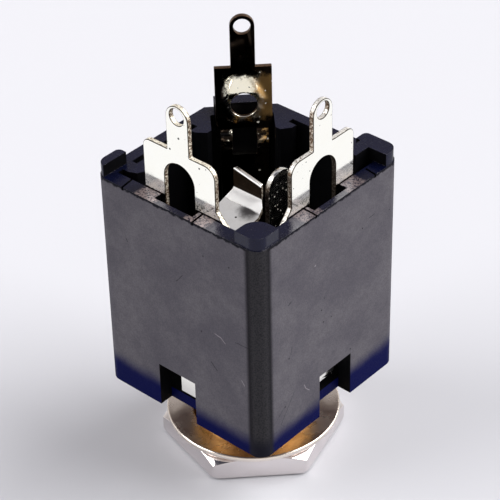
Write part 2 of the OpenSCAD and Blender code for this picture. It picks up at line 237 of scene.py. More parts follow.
def ramp(tree, value, low, high, to_low=0.0, to_high=1.0):
    """Smoothly maps low..high to to_low..to_high."""
    spans = [(value, 0), (low, 1), (high, 2), (to_low, 3), (to_high, 4)]
    return add(tree, "ShaderNodeMapRange", spans, interpolation_type="SMOOTHSTEP").outputs[0]


def rise(tree, at, low, high, most=1.0):
    """From 0 at low to most at high, in mm along a coordinate."""
    return ramp(tree, at, low * MM, high * MM, 0.0, most)


def fall(tree, at, low, high, most=1.0):
    """From most at low to 0 at high, in mm along a coordinate."""
    return ramp(tree, at, low * MM, high * MM, most, 0.0)


def noise(tree, size, detail=3, roughness=0.55, stretch=None):
    """A cloud with features of this size in mm, from 0 to 1."""
    at = place(tree)
    if stretch:
        at = add(tree, "ShaderNodeMapping", [(at, 0), (stretch, "Scale")]).outputs[0]
    values = [(at, "Vector"), (1 / (size * MM), "Scale"), (detail, "Detail"), (roughness, "Roughness")]
    return add(tree, "ShaderNodeTexNoise", values).outputs["Fac"]


def ragged(tree, at, amount, size, detail, roughness=0.55):
    """A coordinate that a cloud pushes on by up to this amount in mm."""
    return calc(tree, "ADD", at, times(tree, noise(tree, size, detail, roughness), amount * MM))


def specks(tree, spacing, size, share):
    """Round specks of this size in mm, one to a cell of the spacing, in this share of the cells."""
    cells = add(tree, "ShaderNodeTexVoronoi", [(place(tree), "Vector"), (1 / (spacing * MM), "Scale")])
    chance = add(tree, "ShaderNodeSeparateColor", [(cells.outputs["Color"], 0)]).outputs
    near = calc(tree, "LESS_THAN", cells.outputs["Distance"], times(tree, chance[1], size / spacing))
    return times(tree, near, calc(tree, "LESS_THAN", chance[0], share))


def mix(tree, mask, a, b):
    """Colour a where the mask is 0, and b where it is 1."""
    a, b = (c if isinstance(c, bpy.types.NodeSocket) else (*c, 1) for c in (a, b))
    return add(tree, "ShaderNodeMix", [(mask, 0), (a, 6), (b, 7)], data_type="RGBA").outputs[2]


def coats(tree, tone, *over):
    """Lays coats, each a (mask, colour), over a tone in their order."""
    for mask, colour in over:
        tone = mix(tree, mask, tone, colour)
    return tone


def bump(tree, height, depth):
    """A bump of this depth in mm."""
    values = [(1.0, "Strength"), (depth * MM, "Distance"), (height, "Height")]
    return add(tree, "ShaderNodeBump", values).outputs[0]


print("finish tools ready")

# %% [markdown]
# ## Floor, sky and lamps
# The real jack was lit from its left and right sides and stood on a white ground, in a dim room. The
# ground shows in the terminals and the dim room in the rim, which is why the rim looks darker than the
# sides. The floor is plain and pale to the eye and keeps the shadow. Where a mirror sees it, it turns to
# clean white beyond the reach of that shadow, so that the plating reads as bright as it is.

# %% Floor
FLOOR_R = 1.5
SHADOW_FROM, SHADOW_TO = 11, 24

bpy.ops.object.select_all(action="DESELECT")
bpy.ops.mesh.primitive_circle_add(vertices=64, radius=FLOOR_R, fill_type="NGON")
floor = bpy.context.object
floor.name = "floor"
ground, tree, matt = new_finish(
    "pale_floor", Roughness=0.8, Specular_IOR_Level=0.1, Base_Color=(0.55, 0.555, 0.60, 1))
rays = add(tree, "ShaderNodeLightPath").outputs
mirrored = either(tree, rays["Is Glossy Ray"], rays["Is Transmission Ray"])
away = vector_math(tree, "LENGTH", place(tree))
seen_white = times(tree, mirrored, rise(tree, away, SHADOW_FROM, SHADOW_TO))
white = add(tree, "ShaderNodeEmission", [((1, 1, 1, 1), "Color"), (1.0, "Strength")])
blend = add(tree, "ShaderNodeMixShader", [(seen_white, 0), (matt.outputs[0], 1), (white.outputs[0], 2)])
tree.links.new(blend.outputs[0], tree.nodes["Material Output"].inputs["Surface"])
floor.data.materials.append(ground)
print("floor", 2 * FLOOR_R, "m across")

# %% [markdown]
# The sky is a room: pale at the horizon, a dimmer wall where the flat rim and the washer look, a lighter
# band above it that shows in the edges and in the spring, and nearly dark overhead. A ramp over the
# height of the view gives all of it, with no picture.

# %% Sky
ROOM = (
    (0.10, (0.88, 0.86, 0.84)), (0.36, (0.50, 0.47, 0.45)), (0.50, (0.43, 0.39, 0.37)),
    (0.64, (0.40, 0.37, 0.36)), (0.73, (0.56, 0.55, 0.57)), (0.83, (0.50, 0.49, 0.52)),
    (0.90, (0.06, 0.06, 0.08)),
)

sky = bpy.data.worlds.new("dim_room")
bpy.context.scene.world = sky
sky.use_nodes = True
tree = sky.node_tree
way = add(tree, "ShaderNodeTexCoord").outputs["Generated"]
fade = add(tree, "ShaderNodeValToRGB", [(axes(tree, way)["Z"], 0)])
stops = fade.color_ramp.elements
for at, colour in ROOM:
    stop = stops.new(at)
    stop.color = (*colour, 1)
stops.remove(stops[-1])
stops.remove(stops[0])
tree.links.new(fade.outputs[0], tree.nodes["Background"].inputs["Color"])
print("sky of", len(stops), "tones")

# %% [markdown]
# Two wide suns light the two flanks, one from each side, and the right one is stronger. Their spread keeps
# the shadows soft.

# %% Lamps
LAMP_TINT = (1, 0.99, 0.96)


def side_sun(name, azimuth, above, strength, spread):
    """A wide sun whose light comes from this azimuth and height, in degrees."""
    lamp = bpy.data.lights.new(name, "SUN")
    lamp.energy = strength
    lamp.angle = radians(spread)
    lamp.color = LAMP_TINT
    sun = bpy.data.objects.new(name, lamp)
    bpy.context.scene.collection.objects.link(sun)
    a, h = radians(azimuth), radians(above)
    toward = Vector((cos(a) * cos(h), sin(a) * cos(h), sin(h)))
    sun.rotation_euler = toward.to_track_quat("Z", "Y").to_euler()


side_sun("left_softbox", 138, 38, 2.0, 46)
side_sun("right_softbox", -42, 38, 4.5, 62)

# %% [markdown]
# ## Easing the edges
# A moulding or a stamping never has a perfectly sharp edge: the tool leaves a tiny round that catches
# the light. The solids are loose triangles, so a copy is merged, its flat triangles dissolve into
# whole faces, and a bevel rounds every edge that is sharper than 30 degrees. Weighted normals keep
# the flats flat.

# %% Eased copies
WELD = 0.001 * MM
SHARP = radians(30)
LEVEL = radians(0.3)


def eased_copy(solid, name, body, width, steps=2):
    """A merged copy of a solid, standing in for it, with sharp edges rounded if a width in mm is given."""
    pick(frame["nodes"][solid])
    bpy.ops.object.duplicate()
    piece = bpy.context.object
    bpy.ops.object.parent_clear(type="CLEAR_KEEP_TRANSFORM")
    piece.name = piece.data.name = name
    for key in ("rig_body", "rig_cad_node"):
        del piece[key]
    piece.data.materials.clear()
    bpy.ops.mesh.customdata_custom_splitnormals_clear()
    edit(piece, "VERT")
    bpy.ops.mesh.remove_doubles(threshold=WELD)
    bpy.ops.mesh.dissolve_limited(angle_limit=LEVEL)
    done()
    if width:
        bevel = piece.modifiers.new("eased", "BEVEL")
        bevel.width = width * MM
        bevel.segments = steps
        bevel.limit_method = "ANGLE"
        bevel.angle_limit = SHARP
        bevel.miter_outer = "MITER_ARC"
        apply_all(piece)
    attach(piece, body)
    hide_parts(solid)
    return piece


def smooth(piece):
    """Smooth shading with flat faces kept flat."""
    pick(piece)
    bpy.ops.object.shade_smooth_by_angle(angle=radians(40))
    piece.modifiers.new("flats", "WEIGHTED_NORMAL").keep_sharp = True
    apply_all(piece)
    print(piece.name, len(piece.data.polygons), "faces")

# %% [markdown]
# ## The housing
# One black moulding: four walls, a floor, corner posts on the rim and channels for the terminals. The
# whole shape is in the solid, so the copy only needs its edges eased. Hairline seams cross the rim
# beside the channels. They are real grooves, so a thin upright cutter is laid along each one and taken
# away from the copy.

# %% Housing
HALF = 7.95
RIM_Z = 25.1
SEAM_W, SEAM_D = 0.18, 0.25
SEAMS = (
    ((-8.1, -1.76), (-6.6, -1.62)), ((-8.1, 5.13), (-6.65, 5.33)),
    ((-1.70, -8.1), (-1.61, -6.6)), ((5.02, -8.1), (5.20, -6.9)),
)


def seam_cutter(start, end):
    """A thin cutter that stands in the rim along a line between two places (x, y) in mm."""
    start, end = Vector(start), Vector(end)
    way, middle = end - start, (start + end) / 2 * MM
    bpy.ops.object.select_all(action="DESELECT")
    bpy.ops.mesh.primitive_cube_add(
        size=MM, location=(*middle, RIM_Z * MM), rotation=(0, 0, atan2(way.y, way.x)))
    bpy.context.object.scale = (way.length, SEAM_W, 2 * SEAM_D)
    return new_piece("seam_cutter")


housing = eased_copy("housing", "black_housing", "jack", 0.07)
for start, end in SEAMS:
    cut_with(housing, seam_cutter(start, end), "DIFFERENCE")
smooth(housing)

# %% [markdown]
# The housing's faces go to five finishes by their place: the satin flanks, the polished rim and posts,
# the inside in painted shade, the underside in painted light, and the scuffed edges along the rim, whose
# normals lean between up and out.

# %% Housing faces
FLANK, RIM, INSIDE, SCUFF, UNDER = range(5)
CORNER = 1.29 * HALF
REAR_CUT = 10
FRONT_Z, WINDOW_Z = 6.2, 7.1


def housing_finish(x, y, z, normal):
    """The finish of a face, from its place in mm and its normal."""
    on_flank = max(abs(x), abs(y)) > HALF - 0.02 or (x * x + y * y) ** 0.5 > CORNER
    on_flank = on_flank or normal.x + normal.y > 1.3 and x + y > REAR_CUT
    if z > RIM_Z + 0.05 and normal.z < 0.5 and max(x, y) > 0 and not on_flank:
        return INSIDE
    if z > RIM_Z - 0.09 and 0.15 < normal.z < 0.95:
        inward = normal.x * x + normal.y * y < 0
        return INSIDE if inward and z < RIM_Z else SCUFF
    if z > RIM_Z - 0.02:
        return RIM
    if z < FRONT_Z and normal.z < -0.9:
        return UNDER
    if on_flank or z < WINDOW_Z and abs(normal.z) < 0.5:
        return FLANK
    return INSIDE


for face in housing.data.polygons:
    face.material_index = housing_finish(*(c / MM for c in face.center), face.normal)
print("housing faces:", [sum(f.material_index == k for f in housing.data.polygons) for k in range(5)])

# %% [markdown]
# ## Nut and washer
# Both are turned and plated, so only their edges differ from the solids: a tumbled nut has softer
# corners than a moulding.

# %% Nut and washer
nut = eased_copy("nut", "hexagon_nut", "nut", 0.08, 3)
washer = eased_copy("washer", "flat_washer", "washer", 0.1, 3)
smooth(nut)
smooth(washer)

# %% [markdown]
# ## The dimple in the sleeve plate
# The sleeve plate is pushed out around its hole into an oval dimple, with a long flat slope above the
# hole that mirrors the pale horizon. The solid has a plain cone there. Bisect rules the plate into a fine
# grid, and every point of it then moves out by the height that the dimple has over the cone at its place.

# %% Dimple
ACROSS = Vector((1, -1, 0)).normalized()
DIAGONAL = Vector((1, 1, 0)).normalized()
HOLE_Z, HOLE_R, HOLE_SIDE = 25.9, 1.025, 0.15
CONE_R, CONE_H = 1.65, 0.3
DIMPLE_H, DIMPLE_RISE, DIMPLE_TOP = 0.44, 0.5, 3.3
FOOT_UP, FOOT_DOWN, FOOT_SIDE = 3.15, 1.58, 1.7
OVAL_W, OVAL_CURVE, OVAL_EDGE = 2.1, 0.8, 0.8
LEAN, BLEND, SOFT = 0.08, 0.6, 0.25
PLATE_IN, PLATE_HALF, PLATE_LOW = 6.31, 2.3, -1.6


def on_plate(point):
    """Sideways and upward distance from the hole in mm, or None off the dimpled part of the plate."""
    side, up = point.dot(ACROSS) / MM - HOLE_SIDE, point.z / MM - HOLE_Z
    beside = abs(side) < PLATE_HALF and PLATE_LOW < up < DIMPLE_TOP + 0.02
    if beside and point.dot(DIAGONAL) > PLATE_IN * MM:
        return side, up


def clamp(value):
    return min(max(value, 0), 1)


def from_hole(side, up):
    return max((side ** 2 + up ** 2) ** 0.5, HOLE_R)


def dimple_height(side, up):
    """Height of the dimple in mm: a cone below the hole, and above it a flat slope with an oval outline."""
    r = from_hole(side, up)
    side += LEAN * max(up, 0)
    foot = r / ((side / FOOT_SIDE) ** 2 + (up / (FOOT_UP if up > 0 else FOOT_DOWN)) ** 2) ** 0.5
    cone = clamp((foot - r) / (foot - HOLE_R))
    slope = clamp((FOOT_UP - up) / (FOOT_UP - HOLE_R))
    oval = OVAL_W * max(1 - (up / FOOT_UP) ** 2, 0) ** OVAL_CURVE
    flat = min(slope, max((oval - abs(side)) / OVAL_EDGE, 0))
    t = cone + clamp(up / BLEND) * (flat - cone)
    return DIMPLE_H * (t * t / (2 * SOFT) if t < SOFT else t - SOFT / 2) / (1 - SOFT / 2)


print("dimple", dimple_height(0, HOLE_R), "mm high at the hole")

# %% [markdown]
# Bisect cuts only the faces that are selected, so the grid stays on the plate. Its small threshold keeps
# it from pulling the plate's own points onto the cut.

# %% Pressing the dimple
NEAR = 0.0001 * MM
GRID = 0.2
GRID_UP, GRID_SIDE = range(-7, 17), range(-10, 11)
BLADE_Z = 24
UPWARD = Vector((0, 0, 1))


def bisect_plate(terminal, normal, at, chosen):
    """Cuts the chosen faces along a plane with this normal, at this distance from the origin in mm."""
    choose(terminal, "FACE", lambda face: chosen(face.center))
    bpy.ops.mesh.bisect(plane_co=normal * at * MM, plane_no=normal, threshold=NEAR)
    done()


def press_dimple(terminal):
    """Rules the grid, then moves every point of it from the cone to the dimple."""
    bisect_plate(terminal, UPWARD, HOLE_Z + DIMPLE_TOP, lambda centre: centre.z > BLADE_Z * MM)
    for k in GRID_UP:
        bisect_plate(terminal, UPWARD, HOLE_Z + GRID * k, on_plate)
    for k in GRID_SIDE:
        bisect_plate(terminal, ACROSS, HOLE_SIDE + GRID * k, on_plate)
    for vertex in terminal.data.vertices:
        where = on_plate(vertex.co)
        if where:
            cone = CONE_H * max(CONE_R - from_hole(*where), 0) / (CONE_R - HOLE_R)
            height = dimple_height(*where)
            up = Vector((0, 0, height / DIMPLE_H * DIMPLE_RISE))
            vertex.co += (up - DIAGONAL * (height - cone)) * MM


print("grid of", len(GRID_UP), "by", len(GRID_SIDE), "lines")

# %% [markdown]
# ## The terminals
# Tip, ring and sleeve are stamped from one sheet each and then folded. The bevel narrows itself to the
# shortest edge it meets, and the tip's latch strip has folds so tight that nothing would be left of it.
# So on the tip some edges are picked and bevelled instead: the sharp ones of the blade, and those round
# any face that sharp edges enclose. The rest of its spring and latch strip stays sharp.

# %% Terminals
BLADE_IN, SLEEVE_IN = 6.2, 6.0


def ease_tip(terminal, width):
    """Rounds the tip's sharp edges by a width in mm: those of its blade over the rim, and all the edges
    of faces that sharp edges enclose."""
    edit(terminal, "EDGE")
    bpy.ops.mesh.select_all(action="DESELECT")
    bpy.ops.mesh.edges_select_sharp(sharpness=SHARP)
    done()
    mesh = terminal.data
    sharp = {e.index for e in mesh.edges if e.select}
    enclosed = [f for f in mesh.polygons if f.select]
    chosen = {mesh.loops[k].edge_index for f in enclosed for k in f.loop_indices}
    for e in mesh.edges:
        ends = [mesh.vertices[v].co / MM for v in e.vertices]
        on_blade = all(end.x < -BLADE_IN for end in ends) and max(end.z for end in ends) > RIM_Z
        if on_blade and e.index in sharp:
            chosen.add(e.index)
    print("tip:", len(chosen), "of", len(sharp), "sharp edges rounded,", len(enclosed), "enclosed faces")
    choose(terminal, "EDGE", lambda e: e.index in chosen)
    bpy.ops.mesh.bevel(offset=width * MM, segments=2, affect="EDGES", miter_outer="ARC")
    done()


tip = eased_copy("tip_contact", "tip_terminal", "jack", 0)
ease_tip(tip, 0.05)
ring = eased_copy("ring_contact", "ring_terminal", "jack", 0.05)
sleeve = eased_copy("sleeve_contact", "sleeve_terminal", "jack", 0.04)
press_dimple(sleeve)
for terminal in (tip, ring, sleeve):
    smooth(terminal)

# %% [markdown]
# Stamping leaves bright flat faces and torn cut edges. A face belongs to a cut edge if it looks along the
# sheet and not out of it, which its normal tells. Above the rim the blades are flat, so there every face
# that does not look along the blade's own normal is a cut edge too. The rounds of tip and ring, which
# lean between the two, get painted shade, a dark line beside the burr.

# %% Terminal faces
# BURR faces are the rounds beside the burr, which get painted shade
BRIGHT, CUT, BURR = range(3)


def mark_cut_edges(terminal, across, out, blade, burred):
    """Gives the cut edges their own finish; across is the sheet's width, out the blade's normal,
    and blade the distance of its inner face from the axis in mm. A burred edge gets painted shade on its
    rounds."""
    for face in terminal.data.polygons:
        on_edge = abs(face.normal.dot(across)) > 0.7
        on_blade = abs(face.center.dot(out)) > blade * MM and face.center.z > BLADE_Z * MM
        lean = abs(face.normal.dot(out))
        face.material_index = CUT if on_edge or on_blade and lean < 0.5 else BRIGHT
        if burred and on_blade and 0.2 < lean < 0.97:
            face.material_index = BURR


mark_cut_edges(tip, Vector((0, 1, 0)), Vector((1, 0, 0)), BLADE_IN, True)
mark_cut_edges(ring, Vector((1, 0, 0)), Vector((0, 1, 0)), BLADE_IN, True)
mark_cut_edges(sleeve, ACROSS, DIAGONAL, SLEEVE_IN, False)
for terminal in (tip, ring, sleeve):
    print(terminal.name, "cut faces:", sum(f.material_index == CUT for f in terminal.data.polygons))

# %% [markdown]
# ## The threaded bushing
# The solid has a plain cylinder where the real bushing has a thread of 32 turns to the inch. One tooth
# is drawn as a short line of points and the Screw modifier winds it up the axis, from a run-in below
# the start so that no point falls on a cut. Bisect then squares the two ends.

# %% Thread
PITCH = 0.794
RUN_IN = 1.37
TURNS = 11
CREST, ROOT = 4.74, 4.34
START, COLLAR_Z, TOP = 0.0, 6.55, 7.05
TOOTH = ((0, 0.10), (CREST - ROOT, 0.33), (0, 0.14), (ROOT - CREST, 0.33), (0, 0.10))

bpy.ops.object.select_all(action="DESELECT")
bpy.ops.mesh.primitive_plane_add(size=MM, location=(ROOT * MM, 0, -RUN_IN * PITCH * MM))
bushing = new_piece("threaded_bushing")
edit(bushing, "VERT")
bpy.ops.mesh.merge(type="CENTER")
for out, up in TOOTH:
    bpy.ops.mesh.extrude_region_move(TRANSFORM_OT_translate={"value": (out * MM, 0, up * PITCH * MM)})
done()
winding = bushing.modifiers.new("winding", "SCREW")
winding.axis = "Z"
winding.screw_offset = PITCH * MM
winding.iterations = TURNS
winding.steps = winding.render_steps = 48
apply_all(bushing)
edit(bushing, "VERT")
bpy.ops.mesh.remove_doubles(threshold=WELD)
for z, waste in ((START, "clear_inner"), (COLLAR_Z, "clear_outer")):
    bpy.ops.mesh.select_all(action="SELECT")
    bpy.ops.mesh.bisect(
        plane_co=(0, 0, z * MM), plane_no=UPWARD, use_fill=True, threshold=NEAR, **{waste: True})
bpy.ops.mesh.select_all(action="SELECT")
bpy.ops.mesh.normals_make_consistent(inside=False)
done()
print("thread faces:", len(bushing.data.polygons))

# %% [markdown]
# Three booleans finish the bushing, as a lathe would: a blank with a chamfer trims the start of the
# thread, a collar is added behind it, and a bore with a lead-in opens it for the plug.

# %% Collar, chamfer and bore
LEAD_IN = 0.35
BORE, BLANK, COLLAR = 3.25, 4.75, 5.5
COLLAR_LAP, COLLAR_EASE = 0.1, 0.08
SPLINTER = 0.002 * MM


def turned(name, radius, low, high, rim=None):
    """A cutter or blank on the axis, in mm; rim is the height and bevel of an edge to break."""
    bpy.ops.object.select_all(action="DESELECT")
    bpy.ops.mesh.primitive_cylinder_add(
        vertices=96, radius=radius * MM, depth=(high - low) * MM, location=(0, 0, (low + high) / 2 * MM))
    made = new_piece(name)
    if rim:
        z, size = rim
        points = made.data.vertices
        choose(made, "EDGE", lambda e: all(abs(points[v].co.z - z * MM) < NEAR for v in e.vertices))
        bpy.ops.mesh.bevel(offset=size * MM, segments=1, affect="EDGES")
        done()
    return made


bore = turned("bore", BORE, START + LEAD_IN, TOP + 1)
wider = (BORE + LEAD_IN) / BORE
choose(bore, "FACE", lambda face: face.normal.z < -0.9)
bpy.ops.mesh.extrude_region_move(TRANSFORM_OT_translate={"value": (0, 0, -LEAD_IN * MM)})
bpy.ops.transform.resize(value=(wider, wider, 1), center_override=(0, 0, 0))
bpy.ops.mesh.extrude_region_move(TRANSFORM_OT_translate={"value": (0, 0, -MM)})
done()
cut_with(bushing, turned("blank", BLANK, START, TOP, (START, LEAD_IN)), "INTERSECT")
cut_with(bushing, turned("collar", COLLAR, COLLAR_Z - COLLAR_LAP, TOP, (TOP, COLLAR_EASE)), "UNION")
cut_with(bushing, bore, "DIFFERENCE")
edit(bushing, "VERT")
bpy.ops.mesh.remove_doubles(threshold=SPLINTER)
bpy.ops.mesh.dissolve_degenerate(threshold=SPLINTER)
done()
pick(bushing)
bpy.ops.object.shade_smooth_by_angle(angle=radians(35))
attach(bushing, "jack")
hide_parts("bushing")
print("bushing faces:", len(bushing.data.polygons))

# %% [markdown]
# ## Scratches
# Handling left specks and a few scratches on the flanks. Each scratch is a soft line between two points of
# a face: the distance from the line makes the mask, and a fine cloud sways it.

# %% Scratches
SWAY = 0.12


def scratch(tree, at, start, end, width):
    """A mask of 1 along the line from start to end, of this width in mm."""
    start, end = Vector(start) * MM, Vector(end) * MM
    way = end - start
    from_start = vector_math(tree, "SUBTRACT", at, start)
    share = vector_math(tree, "DOT_PRODUCT", from_start, way / way.length_squared)
    share = add(tree, "ShaderNodeClamp", [(share, 0)]).outputs[0]
    gap = vector_math(tree, "DISTANCE", from_start, vector_math(tree, "SCALE", way, share))
    return fall(tree, gap, 0.2 * width, 0.6 * width)


def scratches(tree, lines):
    """One mask for many lines, made a little uneven by a fine cloud."""
    fine = [(place(tree), "Vector"), (3 / MM, "Scale"), (2, "Detail")]
    cloud = add(tree, "ShaderNodeTexNoise", fine).outputs["Color"]
    at = vector_math(tree, "ADD", place(tree), vector_math(tree, "SCALE", cloud, SWAY * MM))
    at = vector_math(tree, "SUBTRACT", at, (SWAY / 2 * MM,) * 3)
    return either(tree, *(scratch(tree, at, *line) for line in lines))


def left(y, z):
    return (-HALF, y, z)


def right(x, z):
    return (x, -HALF, z)


PALE = [
    (left(-3.57, 15.99), left(-4.1, 15.9), 0.10), (left(-4.1, 15.9), left(-4.55, 15.57), 0.10),
    (left(-6.09, 12.9), left(-6.31, 12.54), 0.09), (left(-7.0, 16.3), left(-7.28, 16.32), 0.10),
    (right(-3.1, 10.42), right(-2.9, 9.9), 0.09), (right(-2.9, 9.9), right(-2.52, 9.56), 0.09),
    (right(-1.82, 20.7), right(-1.78, 20.72), 0.16),
]
DARK = [
    (left(-5.54, 16.17), left(-7.2, 16.32), 0.07), (left(-3.08, 13.11), left(-3.65, 12.56), 0.10),
    (left(-2.2, 15.55), left(-2.22, 15.57), 0.16), (left(-2.65, 22.55), left(-2.67, 22.57), 0.16),
    (left(-5.1, 22.7), left(-5.12, 22.72), 0.16), (left(5.12, 20.61), left(4.94, 20.33), 0.09),
    (left(0.12, 19.04), left(-0.52, 19.8), 0.07), (right(-4.5, 19.04), right(-4.84, 18.88), 0.10),
    (right(-4.8, 14.0), right(-4.82, 14.02), 0.18), (right(-4.44, 14.96), right(-4.6, 14.22), 0.06),
    (right(-5.78, 8.26), right(-4.26, 10.48), 0.06), (right(-6.22, 9.04), right(-5.18, 9.82), 0.06),
    (right(4.4, 21.6), right(5.0, 21.64), 0.09),
]
print(len(PALE), "pale and", len(DARK), "dark marks")

# %% [markdown]
# ## Satin flanks
# The flanks are spark-textured in the mould: a fine even grain, a little cloudy, that looks dark grey
# under side light. The foot band is painted shade, a near-black navy, and the rounded corners are painted
# darker as shade, the front one with a painted highlight down its middle. The posts' outer sides, above a
# ragged line just over the rim, are painted near-black as shade.

# %% Flank finish
# the navy of the foot band is painted shade
FOOT_SHADE_NAVY = (0.0008, 0.002, 0.040)
# corner tones: painted shade at the sides of the front corner and a painted highlight down its middle
CORNER_SHADE, CORNER_HIGHLIGHT, CORNER_GRAIN = (0.010, 0.009, 0.012), (0.032, 0.031, 0.035), (0.008, 0.008, 0.010)

flank, tree, skin = new_finish("satin_flank", Specular_IOR_Level=0.03)
spot = axes(tree, place(tree))
sideways = [calc(tree, "ABSOLUTE", spot[axis]) for axis in ("X", "Y")]
nearer = calc(tree, "MINIMUM", *sideways)
back = either(tree, spot["X"], spot["Y"])
corner = times(tree, fall(tree, back, -6.0, 0.0), rise(tree, nearer, 6.45, 6.9))
grain = noise(tree, 0.12, 3, 0.7)
# painted shade: the foot band, up to a ragged line some 8 mm high
foot_shade_line = ragged(tree, ramp(tree, back, -1.5 * MM, 2.5 * MM, 7.5 * MM, 8.4 * MM), 0.7, 2.2, 2)
foot = rise(tree, calc(tree, "SUBTRACT", foot_shade_line, spot["Z"]), -0.6, 1.1)
# painted shade: above a ragged line just over the rim, the posts' outer sides are near-black
post_side_shade = rise(tree, ragged(tree, spot["Z"], 0.8, 0.5, 5, 0.75), 25.22, 25.34)
# painted shade and highlight: the front corner is dark at its sides and lighter down its middle
corner_paint = mix(tree, rise(tree, nearer, 6.8, 7.3), CORNER_SHADE, CORNER_HIGHLIGHT)
corner_paint = mix(tree, ramp(tree, grain, 0.4, 0.65, 0.0, 0.6), corner_paint, CORNER_GRAIN)
# the painted shade of the foot band also covers the front corner
corner_paint = mix(tree, foot, corner_paint, (0.008, 0.008, 0.014))
satin = mix(tree, ramp(tree, noise(tree, 3.5, 4), 0.3, 0.7), (0.082, 0.078, 0.093), (0.112, 0.107, 0.121))
satin = coats(
    tree, satin,
    (ramp(tree, noise(tree, 0.7, 4, 0.7), 0.35, 0.7, 0.0, 0.35), (0.060, 0.055, 0.070)),
    (ramp(tree, grain, 0.35, 0.65, 0.0, 0.38), (0.045, 0.042, 0.052)),
    (specks(tree, 1.1, 0.09, 0.35), (0.02, 0.019, 0.024)),
    (specks(tree, 1.7, 0.07, 0.22), (0.26, 0.24, 0.26)),
    (times(tree, scratches(tree, DARK), 0.75), (0.018, 0.017, 0.021)),
    (times(tree, scratches(tree, PALE), 0.42), (0.34, 0.31, 0.34)),
    # painted shade: the foot band
    (foot, FOOT_SHADE_NAVY),
    # painted shade on the posts' outer sides
    (post_side_shade, (0.006, 0.006, 0.010)),
    # painted shade: every rounded corner darkened towards navy
    (rise(tree, nearer, 7.1, 7.7, 0.6), (0.010, 0.011, 0.030)),
    (corner, corner_paint),
)
rough = ramp(tree, grain, 0.3, 0.7, 0.42, 0.6)
wire(tree, skin, Base_Color=satin, Roughness=rough, Normal=bump(tree, grain, 0.012))
print("flank of", len(tree.nodes), "nodes")

# %% [markdown]
# ## Polished rim
# The rim was formed against the polished half of the mould. It mirrors the dim room and the terminals that
# stand on it. Its near-black tone has a blue cast, a painted reflection of a dim blue room, and in front of
# the legs of both blades, most at the tip, pale mottled patches are a painted reflection of the legs.

# %% Rim finish
LEGS_MID = 0.55

rim, tree, skin = new_finish("polished_rim", Specular_IOR_Level=0.28, Specular_Tint=(0.90, 0.87, 1.0, 1))
spot = axes(tree, place(tree))
from_mid = calc(tree, "SUBTRACT", either(tree, spot["X"], spot["Y"]), LEGS_MID * MM)
from_mid = calc(tree, "ABSOLUTE", from_mid)
# painted reflection: pale mottled patches where the rim mirrors the legs of the blades
before_legs = times(tree, rise(tree, from_mid, 1.3, 1.6), fall(tree, from_mid, 3.2, 3.6))
most_at_tip = ramp(tree, spot["X"], -6.6 * MM, -6.0 * MM, 0.85, 0.45)
leg_reflection_paint = times(tree, before_legs, most_at_tip, ramp(tree, noise(tree, 0.22, 4, 0.7), 0.40, 0.55))
# the blue cast of the near-black tone is a painted reflection of a dim blue room
tone = coats(
    tree, mix(tree, noise(tree, 2.0, 4), (0.0008, 0.0014, 0.010), (0.0014, 0.0026, 0.017)),
    (specks(tree, 0.6, 0.05, 0.3), (0.05, 0.048, 0.05)),
    (leg_reflection_paint, (0.26, 0.205, 0.20)),
)
rough = ramp(tree, noise(tree, 0.35, 5, 0.7), 0.3, 0.7, 0.08, 0.34)
wire(tree, skin, Base_Color=tone, Roughness=rough, Normal=bump(tree, noise(tree, 0.16, 4, 0.75), 0.015))
print("rim of", len(tree.nodes), "nodes")

# %% [markdown]
# ## Scuffed edges, inside and underside
# The rim's edges are scuffed, pale in some places and broken dark in others. Little light gets inside,
# and its near-black tone is painted shade as well. The underside is dull, and its brown-grey tone on black
# plastic is painted light from below.

# %% Other housing finishes
scuff, tree, skin = new_finish("scuffed_edge", Specular_IOR_Level=0.4)
worn = ramp(tree, noise(tree, 0.45, 4, 0.65), 0.5, 0.62)
tone = mix(tree, worn, (0.006, 0.006, 0.010), (0.17, 0.16, 0.17))
rough = ramp(tree, worn, 0.0, 1.0, 0.3, 0.6)
wire(tree, skin, Base_Color=tone, Roughness=rough, Normal=bump(tree, noise(tree, 0.2, 3), 0.03))

# painted shade: the inside is near-black, far darker than the flanks of the same plastic
inside, tree, skin = new_finish("inside_painted_shade", Specular_IOR_Level=0.05)
tone = mix(tree, noise(tree, 1.5), (0.0010, 0.0010, 0.0014), (0.0025, 0.0025, 0.0035))
wire(tree, skin, Base_Color=tone, Roughness=ramp(tree, noise(tree, 0.4), 0.3, 0.7, 0.4, 0.6))

# painted light: the black underside is painted brown-grey for the light that it gets from below
under, tree, skin = new_finish("underside_painted_light", Specular_IOR_Level=0.1, Roughness=0.7)
wire(tree, skin, Base_Color=mix(tree, noise(tree, 2.0, 4), (0.09, 0.065, 0.065), (0.14, 0.105, 0.10)))

for finish in (flank, rim, inside, scuff, under):
    housing.data.materials.append(finish)
print("housing finishes:", [m.name for m in housing.data.materials])

# %% [markdown]
# ## Painted shade and highlight, a grey band and dust on tip and ring
# Inside the housing the tip's spring has a painted highlight, a white band along its fold on the faces
# that look up, a patch of painted shade, and painted shade in dark brown on the faces of its upright end
# that look to -X. The outer foot of both blades has a mottled grey-brown band, and the gap between blade
# and rim is a dark line of painted shade. The ring's leaf is dusty. Each mark is a mask by place, and a
# face's own normal keeps the shade and the highlight on the right side of the sheet. Heights are above the
# rim.

# %% Painted shade, highlight and dust
# centre of a patch of painted shade on the tip's spring
RUB_SHADE_AT = Vector((-3.5, -3.25, 24.4)) * MM


